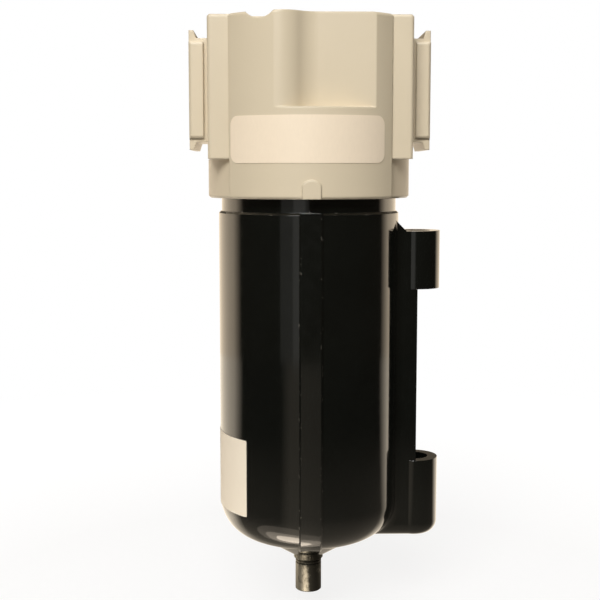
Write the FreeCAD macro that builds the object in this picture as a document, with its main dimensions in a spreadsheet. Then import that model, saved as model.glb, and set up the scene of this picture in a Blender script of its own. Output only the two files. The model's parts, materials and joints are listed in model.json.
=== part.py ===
import FreeCAD, Part
import math
import os

import Sketcher

# Float operated condensate drain for a compressed air line: a die cast head with two
# clamp flange ports, a metal bowl screwed up into it, and a float, a pilot nozzle and a
# drain piston inside the bowl. Millimetres, +Z up. The origin is the centre of the drain
# stem's lower end, on the bowl's axis. The front is towards -Y and the sight tube arm
# stands out towards +X.

# Driving sizes: name, value
SIZES = [
    ("head_bottom", 126.4),
    ("head_height", 53.25),
    ("skirt_overhang", 3.1),
    ("bulge_proud", 1.5),
    ("bulge_step", 0.68),
    ("block_inset", 1.0),
    ("block_setback", 9.5),
    ("block_lift", 11.65),
    ("block_corner", 1.0),
    ("rim_bevel", 0.6),
    ("flange_bevel", 0.6),
    ("port_height", 32.0),
    ("flange_neck", 1.6),
    ("flange_reach", 4.3),
    ("flange_half", 14.2),
    ("lip_rise", 1.1),
    ("lip_half", 17.6),
    ("lip_tip", 1.4),
    ("lip_foot", 2.2),
    ("lip_set_back", 1.4),
    ("port_radius", 5.7),
    ("port_thread", 14.0),
    ("gallery_radius", 4.5),
    ("gallery_inset", 9.4),
    ("socket_gap", 0.4),
    ("cavity_inset", 1.2),
    ("cavity_height", 6.3),
    ("recess_sink", 5.9),
    ("recess_lift", 26.25),
    ("recess_round", 8.0),
    ("recess_blend", 8.0),
    ("recess_flat_x", 2.0),
    ("notch_x", -14.8),
    ("notch_radius", 5.0),
    ("notch_depth", 2.0),
    ("notch_length", 16.6),
    ("tab_width", 5.4),
    ("tab_height", 4.0),
    ("tab_rise", 1.4),
    ("tab_proud", 0.6),
    ("label_height", 13.6),
    ("label_lift", 10.35),
    ("label_left_inset", 0.5),
    ("label_right_inset", 2.5),
    ("label_thickness", 0.25),
    ("bowl_radius", 28.0),
    ("bowl_wall", 3.4),
    ("bowl_bottom", 15.5),
    ("crown_radius", 52.0),
    ("knuckle_radius", 12.5),
    ("boss_radius", 14.0),
    ("boss_drop", 3.6),
    ("boss_foot", 4.95),
    ("shoulder", 122.3),
    ("neck_step", 0.9),
    ("neck_height", 14.7),
    ("rib_width", 6.9),
    ("rib_proud", 0.9),
    ("rib_bevel", 0.5),
    ("shoulder_bevel", 0.6),
    ("arm_width", 14.6),
    ("arm_top", 116.1),
    ("arm_root", 3.3),
    ("arm_slope", 5.3),
    ("arm_bottom", 19.1),
    ("eye_stand", 5.6),
    ("eye_radius", 7.6),
    ("lower_eye", 24.75),
    ("upper_eye", 18.0),
    ("eye_round", 4.0),
    ("arm_fillet", 3.0),
    ("sight_bore", 4.6),
    ("sight_depth", 16.0),
    ("channel_stand", 0.5),
    ("web_thickness", 2.2),
    ("sticker_bottom", 29.8),
    ("sticker_height", 23.7),
    ("sticker_start_angle", 43.4),
    ("sticker_sweep_angle", 58.0),
    ("floor_height", 20.5),
    ("stem_radius", 4.15),
    ("stem_bore", 3.2),
    ("stem_collar", 4.66),
    ("stem_hole", 4.45),
    ("stem_groove", 0.3),
    ("flange_radius", 12.4),
    ("flange_thickness", 2.5),
    ("gasket_thickness", 0.8),
    ("seat_hole", 2.0),
    ("seat_land", 2.0),
    ("nose_radius", 6.0),
    ("nose_height", 2.5),
    ("housing_radius", 13.0),
    ("chamber_radius", 10.5),
    ("chamber_height", 12.8),
    ("skirt_height", 4.8),
    ("plate_thickness", 3.0),
    ("partition", 2.0),
    ("rod_hole", 1.6),
    ("window_width", 5.0),
    ("window_height", 3.2),
    ("screen_thickness", 0.5),
    ("screen_height", 4.4),
    ("piston_radius", 10.2),
    ("piston_height", 3.7),
    ("piston_stroke", 2.5),
    ("rod_radius", 1.1),
    ("valve_radius", 2.85),
    ("valve_height", 2.7),
    ("rod_head", 0.8),
    ("seal_section", 0.8),
    ("spring_radius", 6.0),
    ("spring_wire", 0.45),
    ("spring_pitch", 2.1),
    ("guide_radius", 4.0),
    ("guide_bore", 1.8),
    ("guide_collar", 6.0),
    ("guide_length", 51.6),
    ("nozzle_spigot", 4.0),
    ("nozzle_tip", 4.0),
    ("nozzle_bore", 0.5),
    ("float_radius", 16.5),
    ("float_bore", 4.6),
    ("float_length", 54.0),
    ("float_roof", 4.9),
    ("float_bevel", 4.0),
    ("float_stroke", 5.0),
    ("pad_radius", 3.4),
    ("pad_thickness", 1.0),
    ("bowl_seal_section", 1.1),
    ("deflector_gap", 3.6),
    ("deflector_thickness", 1.8),
    ("deflector_hub", 5.0),
    ("deflector_slots", 8),
    ("slot_depth", 5.0),
    ("slot_width", 3.0),
    ("stud_radius", 2.0),
    ("stud_thread", 7.0),
    ("nut_flats", 7.0),
    ("nut_height", 3.2),
    ("fit", 0.05),
    ("seat_gap", 0.15),
    ("running_gap", 0.6),
]


class Size:
    """A length that knows its value and the sheet expression it comes from."""

    def __init__(self, value, text):
        self.value = float(value)
        self.text = text

    def __add__(self, other):
        other = size_of(other)
        return Size(self.value + other.value, f"({self.text} + {other.text})")

    def __sub__(self, other):
        other = size_of(other)
        return Size(self.value - other.value, f"({self.text} - {other.text})")

    def __mul__(self, other):
        other = size_of(other)
        return Size(self.value * other.value, f"({self.text} * {other.text})")

    def __truediv__(self, other):
        other = size_of(other)
        return Size(self.value / other.value, f"({self.text} / {other.text})")

    def __neg__(self):
        return Size(-self.value, f"(0 - {self.text})")


def size_of(number):
    """The same length where it already is a Size, or a plain number made into one."""
    if isinstance(number, Size):
        return number
    return Size(number, repr(float(number)))


def root(square):
    """The square root of a Size."""
    return Size(math.sqrt(square.value), f"sqrt({square.text})")


class Sheet:
    """The driving sizes as attributes, each bound to its own cell."""


doc = FreeCAD.newDocument("condensate_drain_valve")
sheet = doc.addObject("Spreadsheet::Sheet", "Sizes")
s = Sheet()
for row, (alias, value) in enumerate(SIZES, start=1):
    sheet.set(f"A{row}", alias)
    sheet.set(f"B{row}", str(value))
    sheet.setAlias(f"B{row}", alias)
    setattr(s, alias, Size(value, f"Sizes.{alias}"))
doc.recompute()

nodes = []


def new_body(label):
    """A body for one sub-part, whose label names its file."""
    body = doc.addObject("PartDesign::Body", label)
    body.Label = label
    nodes.append(body)
    return body


def new_sketch(body, plane, offset=0.0):
    """A sketch on one of the body's own origin planes, moved along its normal."""
    sketch = body.newObject("Sketcher::SketchObject", f"{body.Name}_sketch")
    faces = [item for item in body.Origin.OriginFeatures if item.Role == f"{plane}_Plane"]
    sketch.AttachmentSupport = [(faces[0], "")]
    sketch.MapMode = "FlatFace"
    offset = size_of(offset)
    sketch.AttachmentOffset = FreeCAD.Placement(FreeCAD.Vector(0, 0, offset.value), FreeCAD.Rotation())
    sketch.setExpression("AttachmentOffset.Base.z", offset.text)
    return sketch


def pin_point(sketch, curve, end, x, y):
    """Ties one end of a curve to its two coordinates, through the sheet."""
    for kind, coordinate in (("DistanceX", size_of(x)), ("DistanceY", size_of(y))):
        index = sketch.addConstraint(Sketcher.Constraint(kind, -1, 1, curve, end, coordinate.value))
        sketch.setExpression(f"Constraints[{index}]", coordinate.text)


def draw_outline(sketch, corners):
    """A closed outline. A corner is (x, y), or (x, y, radius, turn) where an arc leaves it.

    turn is +1 where the arc runs anticlockwise to the next corner, and -1 where it runs clockwise.
    """
    curves = []
    for corner, target in zip(corners, corners[1:] + corners[:1]):
        start = FreeCAD.Vector(size_of(corner[0]).value, size_of(corner[1]).value, 0)
        end = FreeCAD.Vector(size_of(target[0]).value, size_of(target[1]).value, 0)
        if len(corner) == 2:
            curves.append((sketch.addGeometry(Part.LineSegment(start, end)), 1, 2))
            continue
        radius, turn = size_of(corner[2]), corner[3]
        chord = end - start
        rise = math.sqrt(max(radius.value ** 2 - (chord.Length / 2) ** 2, 0.0))
        side = FreeCAD.Vector(-chord.y, chord.x, 0).normalize()
        centre = (start + end) * 0.5 + side * (rise * turn)
        first, last = (start, end) if turn > 0 else (end, start)
        angles = [math.atan2(point.y - centre.y, point.x - centre.x) for point in (first, last)]
        circle = Part.Circle(centre, FreeCAD.Vector(0, 0, 1), radius.value)
        arc = sketch.addGeometry(Part.ArcOfCircle(circle, angles[0], angles[1]))
        index = sketch.addConstraint(Sketcher.Constraint("Radius", arc, radius.value))
        sketch.setExpression(f"Constraints[{index}]", radius.text)
        curves.append((arc, 1, 2) if turn > 0 else (arc, 2, 1))
    for (curve, first, last), (after, entry, exit_end) in zip(curves, curves[1:] + curves[:1]):
        sketch.addConstraint(Sketcher.Constraint("Coincident", curve, last, after, entry))
    for (curve, first, last), corner in zip(curves, corners):
        pin_point(sketch, curve, first, corner[0], corner[1])


def draw_box(sketch, low_x, low_y, high_x, high_y):
    """A rectangle from its low corner to its high corner."""
    draw_outline(sketch, [(low_x, low_y), (high_x, low_y), (high_x, high_y), (low_x, high_y)])


def draw_circle(sketch, x, y, radius):
    """A circle about a point."""
    centre = FreeCAD.Vector(size_of(x).value, size_of(y).value, 0)
    curve = sketch.addGeometry(Part.Circle(centre, FreeCAD.Vector(0, 0, 1), radius.value))
    pin_point(sketch, curve, 3, x, y)
    index = sketch.addConstraint(Sketcher.Constraint("Radius", curve, radius.value))
    sketch.setExpression(f"Constraints[{index}]", radius.text)


def finish_feature(body, feature, adds):
    """Recomputes a feature and makes sure that it added or removed material."""
    before = body.Shape.Volume if not body.Shape.isNull() else 0.0
    body.Tip = feature
    doc.recompute()
    change = feature.Shape.Volume - before
    if (change > 0) != adds or abs(change) < 1e-6:
        raise RuntimeError(f"{body.Label}: {feature.Name} changed the volume by {change:.3f}")
    return feature


def turn(body, corners, kind="", axis_x=0.0):
    """Turns an XZ outline about Z. It cuts where the body has material, unless kind says otherwise."""
    kind = kind or ("Groove" if body.Tip else "Revolution")
    sketch = new_sketch(body, "XZ")
    sketch.setExpression("AttachmentOffset.Base.x", size_of(axis_x).text)
    draw_outline(sketch, corners)
    doc.recompute()
    feature = body.newObject(f"PartDesign::{kind}", f"{body.Name}_{kind.lower()}")
    feature.Profile = sketch
    feature.ReferenceAxis = (sketch, ["V_Axis"])
    feature.Angle = 360.0
    return finish_feature(body, feature, kind == "Revolution")


def pad(body, plane, offset, length, draw, middle=False):
    """Adds an extrusion along a plane's normal, from an offset."""
    sketch = new_sketch(body, plane, offset)
    draw(sketch)
    doc.recompute()
    feature = body.newObject("PartDesign::Pad", f"{body.Name}_pad")
    feature.Profile = sketch
    feature.setExpression("Length", size_of(length).text)
    feature.Midplane = middle
    return finish_feature(body, feature, True)


def pocket(body, plane, offset, length, draw, middle=False, along=False):
    """Cuts an extrusion against a plane's normal, or along it, from an offset."""
    sketch = new_sketch(body, plane, offset)
    draw(sketch)
    doc.recompute()
    feature = body.newObject("PartDesign::Pocket", f"{body.Name}_pocket")
    feature.Profile = sketch
    feature.setExpression("Length", size_of(length).text)
    feature.Midplane = middle
    feature.Reversed = along
    return finish_feature(body, feature, False)


def dress_edges(body, kind, measure, size, test):
    """Rounds or bevels every edge of the body that passes a test."""
    base = body.Tip
    names = [f"Edge{count}" for count, edge in enumerate(base.Shape.Edges, start=1) if test(edge)]
    if not names:
        raise RuntimeError(f"{body.Label}: no edge for the {kind}")
    feature = body.newObject(f"PartDesign::{kind}", f"{body.Name}_{kind.lower()}")
    feature.Base = (base, names)
    feature.setExpression(measure, size_of(size).text)
    body.Tip = feature
    doc.recompute()
    if feature.Shape.isNull() or "Invalid" in feature.State:
        raise RuntimeError(f"{body.Label}: {feature.Name} failed on {names}")


def round_edges(body, radius, test):
    """Rounds the edges that pass a test."""
    dress_edges(body, "Fillet", "Radius", radius, test)


def bevel_edges(body, size, test):
    """Bevels the edges that pass a test."""
    dress_edges(body, "Chamfer", "Size", size, test)


def near(value, target, within=0.02):
    """Whether a measure lies at a size."""
    return abs(value - size_of(target).value) < within


# Widths that several pieces share
bowl_bore = s.bowl_radius - s.bowl_wall
neck_radius = s.bowl_radius - s.neck_step
socket_radius = neck_radius + s.socket_gap
cavity_radius = bowl_bore - s.cavity_inset
gallery_x = cavity_radius - s.gallery_inset
deflector_radius = bowl_bore - s.deflector_gap
eye_x = s.bowl_radius + s.eye_stand
channel_floor = s.bowl_radius + s.channel_stand
skirt_radius = s.bowl_radius + s.skirt_overhang
bulge_radius = skirt_radius + s.bulge_proud
block_half_width = skirt_radius - s.block_inset
block_depth = skirt_radius - s.block_setback
bulge_edge = block_depth + s.bulge_step
bulge_half_width = root(bulge_radius * bulge_radius - bulge_edge * bulge_edge)
port_face = block_half_width + s.flange_neck + s.flange_reach
recess_floor = bulge_radius - s.recess_sink
notch_back = bulge_radius - s.notch_length

# Heights that several pieces share
head_top = s.head_bottom + s.head_height
port_axis = s.head_bottom + s.port_height
neck_top = s.shoulder + s.neck_height
socket_roof = neck_top + s.bowl_seal_section * 2 + s.seat_gap * 2
cavity_roof = socket_roof + s.cavity_height
block_bottom = s.head_bottom + s.block_lift
gasket_top = s.floor_height + s.gasket_thickness
flange_top = gasket_top + s.flange_thickness
seat_top = flange_top + s.nose_height
seat_bottom = seat_top - s.seat_land
partition_bottom = flange_top + s.skirt_height
chamber_floor = partition_bottom + s.partition
chamber_roof = chamber_floor + s.chamber_height
housing_top = chamber_roof + s.plate_thickness
piston_top = chamber_roof - s.seat_gap - s.piston_stroke
piston_bottom = piston_top - s.piston_height
guide_top = housing_top + s.guide_length
nozzle_top = guide_top + s.nozzle_tip
pad_bottom = nozzle_top + s.seat_gap
float_ceiling = pad_bottom + s.pad_thickness
float_top = float_ceiling + s.float_roof
float_bottom = float_top - s.float_length
nut_bottom = float_top + s.float_stroke + s.running_gap
deflector_bottom = nut_bottom + s.nut_height


def round_bottom(grow):
    """Crown and knuckle of the bowl's bottom, moved outwards by grow.

    Returns the crown's arc radius, the point where the crown runs into the knuckle,
    the knuckle's radius, and the height where the knuckle runs into the wall.
    """
    crown = s.crown_radius + grow
    knuckle = s.knuckle_radius + grow
    across = s.bowl_radius - s.knuckle_radius
    between = s.crown_radius - s.knuckle_radius
    down = root(between * between - across * across)
    centre = s.bowl_bottom + s.crown_radius
    meet_x = across * crown / between
    meet_z = centre - down * crown / between
    return crown, meet_x, meet_z, knuckle, centre - down


def crown_height(radius, grow):
    """Height of the crown's arc at a radius from the axis, moved outwards by grow."""
    crown = s.crown_radius + grow
    return s.bowl_bottom + s.crown_radius - root(crown * crown - radius * radius)


# Head casting
def make_head():
    body = new_body("head")
    rim = skirt_radius
    turn(body, [(0, s.head_bottom), (rim, s.head_bottom), (rim, head_top), (0, head_top)])
    side = bulge_half_width
    bulge = [
        (-side, -bulge_edge, bulge_radius, 1),
        (side, -bulge_edge),
        (side, bulge_edge, bulge_radius, 1),
        (-side, bulge_edge),
    ]
    pad(body, "XY", s.head_bottom, s.head_height, lambda sketch: draw_outline(sketch, bulge))
    width = block_half_width
    depth = block_depth
    pad(body, "XY", block_bottom, head_top - block_bottom,
        lambda sketch: draw_box(sketch, -width, -depth, width, depth))
    beyond = block_half_width * 2
    for low, high in ((-beyond, -width), (width, beyond)):
        pocket(body, "XY", block_bottom, s.head_height,
               lambda sketch: draw_box(sketch, low, -beyond, high, beyond), along=True)
    round_edges(body, s.block_corner, lambda edge: near(abs(edge.CenterOfMass.x), width)
                and near(abs(edge.CenterOfMass.y), depth))
    bevel_edges(body, s.rim_bevel, lambda edge: near(edge.BoundBox.ZMin, head_top)
                and near(edge.BoundBox.ZMax, head_top))

    neck_end = block_half_width + s.flange_neck
    half = s.flange_half
    neck = half - s.lip_set_back
    neck_half = half + s.lip_rise
    low = port_axis - half
    high = port_axis + half
    inner = block_half_width - s.block_corner
    lip = [
        (inner, 0),
        (inner, neck_half),
        (port_face - s.lip_foot, neck_half),
        (port_face - s.lip_tip, s.lip_half),
        (port_face, s.lip_half),
        (port_face, 0),
    ]
    for side in (1, -1):
        pad(body, "XZ", 0.0, half * 2,
            lambda sketch: draw_box(sketch, neck_end * side, low, port_face * side, high), middle=True)
    bevel_edges(body, s.flange_bevel, lambda edge: edge.BoundBox.XLength > s.lip_tip.value
                and near(abs(edge.CenterOfMass.y), half) and near(edge.BoundBox.YLength, 0.0))
    for side in (1, -1):
        for way in (1, -1):
            corners = [(x * side, port_axis + up * way) for x, up in lip]
            pad(body, "XZ", 0.0, neck * 2, lambda sketch: draw_outline(sketch, corners), middle=True)
    bevel_edges(body, s.flange_bevel, lambda edge: near(abs(edge.CenterOfMass.x), port_face)
                and near(abs(edge.CenterOfMass.y), s.flange_half))
    bevel_edges(body, s.flange_bevel, lambda edge: near(edge.BoundBox.ZMax, s.head_bottom)
                and near(edge.BoundBox.ZMin, s.head_bottom))

    # The recess starts with a convex blend off the bulge and a hollow round into its flat.
    # The blend's centre lies on a circle about the axis, at the two radii from the round's.
    orbit = bulge_radius - s.recess_blend + s.fit
    reach = s.recess_blend + s.recess_round
    round_x = s.recess_flat_x
    round_y = -(recess_floor + s.recess_round)
    span = round_x * round_x + round_y * round_y
    along = (orbit * orbit - reach * reach + span) / (span * 2)
    across = root(orbit * orbit / span - along * along)
    blend_x = along * round_x + across * round_y
    blend_y = along * round_y - across * round_x
    start = s.recess_blend / orbit + 1
    share = s.recess_blend / reach
    outside = -(block_half_width + block_depth)
    recess = [
        (blend_x * start, blend_y * start, s.recess_blend, 1),
        (blend_x + (round_x - blend_x) * share, blend_y + (round_y - blend_y) * share, s.recess_round, -1),
        (round_x, -recess_floor),
        (block_half_width, -recess_floor),
        (block_half_width, outside),
        (blend_x * start, outside),
    ]
    pocket(body, "XY", s.head_bottom + s.recess_lift, s.head_height,
           lambda sketch: draw_outline(sketch, recess), along=True)
    pocket(body, "XZ", notch_back, s.head_height,
           lambda sketch: draw_circle(sketch, s.notch_x, head_top + s.notch_radius - s.notch_depth,
                                      s.notch_radius), along=True)

    tab_half = s.tab_width / 2
    tab_radius = (tab_half * tab_half + s.tab_rise * s.tab_rise) / (s.tab_rise * 2)
    tab = [
        (-tab_half, s.head_bottom),
        (tab_half, s.head_bottom),
        (tab_half, s.head_bottom + s.tab_height, tab_radius, 1),
        (-tab_half, s.head_bottom + s.tab_height),
    ]
    tab_root = bulge_radius - s.tab_proud * 2
    pad(body, "XZ", tab_root, s.tab_proud * 3, lambda sketch: draw_outline(sketch, tab))

    below = s.head_bottom - s.socket_gap
    turn(body, [
        (0, below),
        (socket_radius, below),
        (socket_radius, socket_roof),
        (cavity_radius, socket_roof),
        (cavity_radius, cavity_roof),
        (0, cavity_roof),
    ])
    for side in (1, -1):
        inward = side < 0
        pocket(body, "YZ", port_face * side, s.port_thread,
               lambda sketch: draw_circle(sketch, 0, port_axis, s.port_radius), along=inward)
        pocket(body, "YZ", port_face * side, port_face - gallery_x,
               lambda sketch: draw_circle(sketch, 0, port_axis, s.gallery_radius), along=inward)
        pocket(body, "XY", port_axis, port_axis - cavity_roof + s.fit,
               lambda sketch: draw_circle(sketch, gallery_x * side, 0, s.gallery_radius))
    pocket(body, "XY", cavity_roof - s.fit, s.stud_thread + s.fit + s.seat_gap,
           lambda sketch: draw_circle(sketch, 0, 0, s.stud_radius + s.fit), along=True)


# Bare label on the head's front
def make_head_label():
    body = new_body("head_label")
    bottom = s.head_bottom + s.label_lift
    top = bottom + s.label_height
    inner = bulge_radius + s.fit
    outer = inner + s.label_thickness
    turn(body, [(inner, bottom), (outer, bottom), (outer, top), (inner, top)])
    reach = skirt_radius * 2
    left = s.label_left_inset - bulge_half_width
    right = bulge_half_width - s.label_right_inset
    beyond = s.label_height
    behind = [
        (-reach, reach),
        (-reach, -reach),
        (left, -reach),
        (left, 0),
        (right, 0),
        (right, -reach),
        (reach, -reach),
        (reach, reach),
    ]
    pocket(body, "XY", top + beyond, s.label_height * 3, lambda sketch: draw_outline(sketch, behind))


# Deflector and what holds it up in the head
def make_deflector_stud():
    body = new_body("deflector_stud")
    top = cavity_roof + s.stud_thread
    turn(body, [(0, nut_bottom), (s.stud_radius, nut_bottom), (s.stud_radius, top), (0, top)])


def make_deflector():
    body = new_body("deflector")
    bore = s.stud_radius + s.fit
    disc_top = deflector_bottom + s.deflector_thickness
    turn(body, [
        (bore, deflector_bottom),
        (deflector_radius, deflector_bottom),
        (deflector_radius, disc_top),
        (s.deflector_hub, disc_top),
        (s.deflector_hub, cavity_roof),
        (bore, cavity_roof),
    ])
    half = s.slot_width / 2
    floor = deflector_radius - s.slot_depth
    slot = pocket(body, "XY", disc_top, s.deflector_thickness,
                  lambda sketch: draw_box(sketch, floor, -half, bowl_bore, half))
    pattern = body.newObject("PartDesign::PolarPattern", "deflector_pattern")
    pattern.Originals = [slot]
    axes = [item for item in body.Origin.OriginFeatures if item.Role == "Z_Axis"]
    pattern.Axis = (axes[0], [""])
    pattern.Angle = 360.0
    pattern.setExpression("Occurrences", s.deflector_slots.text)
    finish_feature(body, pattern, False)


def make_deflector_nut():
    body = new_body("deflector_nut")
    side = s.nut_flats / math.sqrt(3)
    half = s.nut_flats / 2
    corners = [
        (side, 0),
        (side / 2, half),
        (-side / 2, half),
        (-side, 0),
        (-side / 2, -half),
        (side / 2, -half),
    ]
    pad(body, "XY", nut_bottom, s.nut_height, lambda sketch: draw_outline(sketch, corners))
    pocket(body, "XY", deflector_bottom, s.nut_height,
           lambda sketch: draw_circle(sketch, 0, 0, s.stud_radius + s.fit))


# Bowl casting
def make_bowl():
    body = new_body("bowl")
    crown, meet_x, meet_z, knuckle, wall_z = round_bottom(0.0)
    foot = s.bowl_bottom - s.boss_drop
    turn(body, [
        (0, foot),
        (s.boss_foot, foot),
        (s.boss_radius, crown_height(s.boss_radius, 0.0), crown, 1),
        (meet_x, meet_z, knuckle, 1),
        (s.bowl_radius, wall_z),
        (s.bowl_radius, s.shoulder),
        (neck_radius, s.shoulder),
        (neck_radius, neck_top),
        (0, neck_top),
    ])
    proud, meet_x, meet_z, knuckle, wall_z = round_bottom(s.rib_proud)
    front = -(s.bowl_radius + s.rib_proud)
    rib = [
        (-s.boss_radius, crown_height(s.boss_radius, s.rib_proud), proud, -1),
        (-meet_x, meet_z, knuckle, -1),
        (front, wall_z),
        (front, s.shoulder),
        (-s.boss_radius, s.shoulder),
    ]
    pad(body, "YZ", 0.0, s.rib_width, lambda sketch: draw_outline(sketch, rib), middle=True)
    rib_side = s.rib_width / 2
    bevel_edges(body, s.rib_bevel, lambda edge: near(abs(edge.CenterOfMass.x), rib_side)
                and edge.BoundBox.XLength < 0.1 and near(edge.BoundBox.YMin, front, 0.1)
                and edge.BoundBox.ZLength > s.rib_width.value)
    bevel_edges(body, s.shoulder_bevel, lambda edge: near(edge.BoundBox.ZMin, s.shoulder)
                and near(edge.BoundBox.ZMax, s.shoulder) and edge.Length > s.bowl_radius.value * 2
                and edge.BoundBox.YMax > neck_radius.value + 0.5)

    inside = s.bowl_radius / 2
    start_x = s.bowl_radius - s.arm_root
    shelf_x = start_x + s.arm_slope
    arm = [
        (inside, s.arm_bottom),
        (eye_x, s.arm_bottom),
        (eye_x, s.arm_top),
        (shelf_x, s.arm_top),
        (start_x, s.arm_top + s.arm_slope),
        (inside, s.arm_top + s.arm_slope),
    ]
    pad(body, "XZ", 0.0, s.arm_width, lambda sketch: draw_outline(sketch, arm), middle=True)
    arm_side = s.arm_width / 2
    round_edges(body, s.eye_round, lambda edge: near(edge.BoundBox.ZMax, s.arm_bottom)
                and near(abs(edge.CenterOfMass.y), arm_side) and edge.BoundBox.YLength < 0.1)
    round_edges(body, s.arm_fillet, lambda edge: near(abs(edge.CenterOfMass.y), arm_side)
                and edge.BoundBox.YLength < 0.1 and edge.BoundBox.XMax < s.bowl_radius.value
                and edge.BoundBox.XMin > inside.value + s.arm_fillet.value)
    channel_half = s.arm_width / 2 - s.web_thickness
    channel_bottom = s.arm_bottom + s.lower_eye
    channel_top = s.arm_top - s.upper_eye
    turn(body, [
        (0, s.arm_bottom),
        (s.eye_radius - s.eye_round, s.arm_bottom, s.eye_round, 1),
        (s.eye_radius, s.arm_bottom + s.eye_round),
        (s.eye_radius, channel_bottom),
        (0, channel_bottom),
    ], "Revolution", eye_x)
    turn(body, [(0, channel_top), (s.eye_radius, channel_top), (s.eye_radius, s.arm_top), (0, s.arm_top)],
         "Revolution", eye_x)
    pocket(body, "XY", channel_top, channel_top - channel_bottom,
           lambda sketch: draw_box(sketch, channel_floor, -channel_half,
                                   eye_x + s.eye_radius * 2, channel_half))
    pocket(body, "XY", s.arm_top, s.upper_eye,
           lambda sketch: draw_circle(sketch, eye_x, 0, s.sight_bore))
    pocket(body, "XY", channel_bottom, s.sight_depth,
           lambda sketch: draw_circle(sketch, eye_x, 0, s.sight_bore))

    _, meet_x, _, _, wall_z = round_bottom(-s.bowl_wall)
    turn(body, [
        (0, s.floor_height),
        (meet_x, s.floor_height),
        (bowl_bore, wall_z),
        (bowl_bore, neck_top),
        (0, neck_top),
    ])
    pocket(body, "XY", s.floor_height, s.floor_height,
           lambda sketch: draw_circle(sketch, 0, 0, s.stem_hole))


# Bare sticker on the bowl's left front
def make_bowl_label():
    body = new_body("bowl_label")
    inner = s.bowl_radius + s.fit
    outer = inner + s.label_thickness
    top = s.sticker_bottom + s.sticker_height
    sketch = new_sketch(body, "XZ")
    draw_box(sketch, inner, s.sticker_bottom, outer, top)
    doc.recompute()
    feature = body.newObject("PartDesign::Revolution", "bowl_label_sweep")
    feature.Profile = sketch
    feature.ReferenceAxis = (sketch, ["V_Axis"])
    feature.setExpression("Angle", s.sticker_sweep_angle.text)
    finish_feature(body, feature, True)
    body.setExpression("Placement.Rotation.Angle",
                       f"-90 - {s.sticker_start_angle.text} - {s.sticker_sweep_angle.text}")


# Seal between the bowl's neck and the head
def make_bowl_seal():
    body = new_body("bowl_seal")
    inner = neck_radius - s.bowl_seal_section * 2
    bottom = neck_top + s.seat_gap
    top = bottom + s.bowl_seal_section * 2
    turn(body, [(inner, bottom), (neck_radius, bottom), (neck_radius, top), (inner, top)])


# Drain stem in the bowl's floor and its gasket
def make_drain_stem():
    body = new_body("drain_stem")
    foot = s.bowl_bottom - s.boss_drop
    chamfer = s.stem_groove
    waist = s.stem_radius - s.stem_groove
    collar_bottom = foot - s.stem_groove * 4
    ring_step = s.stem_groove * 2
    rings = []
    for count in (2, 1):
        low = collar_bottom - ring_step * (count * 1.5)
        rings += [
            (s.stem_radius, low),
            (waist, low + ring_step / 2),
            (s.stem_radius, low + ring_step),
        ]
    turn(body, [
        (s.stem_bore, 0),
        (s.stem_radius - chamfer, 0),
        (s.stem_radius, chamfer),
    ] + rings + [
        (s.stem_radius, collar_bottom),
        (s.stem_collar, collar_bottom),
        (s.stem_collar, foot - s.fit),
        (s.stem_radius, foot - s.fit),
        (s.stem_radius, gasket_top),
        (s.flange_radius, gasket_top),
        (s.flange_radius, flange_top),
        (s.nose_radius, flange_top),
        (s.nose_radius, seat_top),
        (s.seat_hole, seat_top),
        (s.seat_hole, seat_bottom),
        (s.stem_bore, seat_bottom),
    ])


def make_stem_gasket():
    body = new_body("stem_gasket")
    rim = s.flange_radius - s.seat_gap
    inner = s.stem_hole
    turn(body, [(inner, s.floor_height), (rim, s.floor_height), (rim, gasket_top), (inner, gasket_top)])


# Drain cylinder on the stem's flange
def make_drain_housing():
    body = new_body("drain_housing")
    spigot_hole = s.guide_radius
    turn(body, [
        (s.chamber_radius, flange_top),
        (s.housing_radius, flange_top),
        (s.housing_radius, housing_top),
        (spigot_hole, housing_top),
        (spigot_hole, chamber_roof),
        (s.chamber_radius, chamber_roof),
        (s.chamber_radius, chamber_floor),
        (s.rod_hole, chamber_floor),
        (s.rod_hole, partition_bottom),
        (s.chamber_radius, partition_bottom),
    ])
    half = s.window_width / 2
    sill = partition_bottom - s.window_height
    for plane in ("XZ", "YZ"):
        pocket(body, plane, 0.0, s.housing_radius * 4,
               lambda sketch: draw_box(sketch, -half, sill, half, partition_bottom), middle=True)


def make_drain_screen():
    body = new_body("drain_screen")
    inner = s.housing_radius + s.fit
    outer = inner + s.screen_thickness
    top = flange_top + s.screen_height
    turn(body, [(inner, flange_top), (outer, flange_top), (outer, top), (inner, top)])


# Drain piston, its seal, its valve and its spring
def make_drain_piston():
    body = new_body("drain_piston")
    groove_floor = s.piston_radius - s.seal_section * 2 - s.fit
    groove_low = piston_bottom + s.piston_height / 2 - s.seal_section - s.fit
    groove_high = groove_low + s.seal_section * 2 + s.fit * 2
    valve_top = seat_bottom - s.seat_gap
    head_top_z = valve_top - s.valve_height
    turn(body, [
        (0, head_top_z - s.rod_head),
        (s.rod_radius * 2, head_top_z - s.rod_head),
        (s.rod_radius * 2, head_top_z),
        (s.rod_radius, head_top_z),
        (s.rod_radius, piston_bottom),
        (s.piston_radius, piston_bottom),
        (s.piston_radius, groove_low),
        (groove_floor, groove_low),
        (groove_floor, groove_high),
        (s.piston_radius, groove_high),
        (s.piston_radius, piston_top),
        (0, piston_top),
    ])


def make_valve_disc():
    body = new_body("valve_disc")
    top = seat_bottom - s.seat_gap
    bottom = top - s.valve_height
    inner = s.rod_radius + s.fit
    turn(body, [(inner, bottom), (s.valve_radius, bottom), (s.valve_radius, top), (inner, top)])


def make_piston_seal():
    body = new_body("piston_seal")
    inner = s.piston_radius - s.seal_section * 2
    bottom = piston_bottom + s.piston_height / 2 - s.seal_section
    top = bottom + s.seal_section * 2
    turn(body, [(inner, bottom), (s.piston_radius, bottom), (s.piston_radius, top), (inner, top)])


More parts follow.
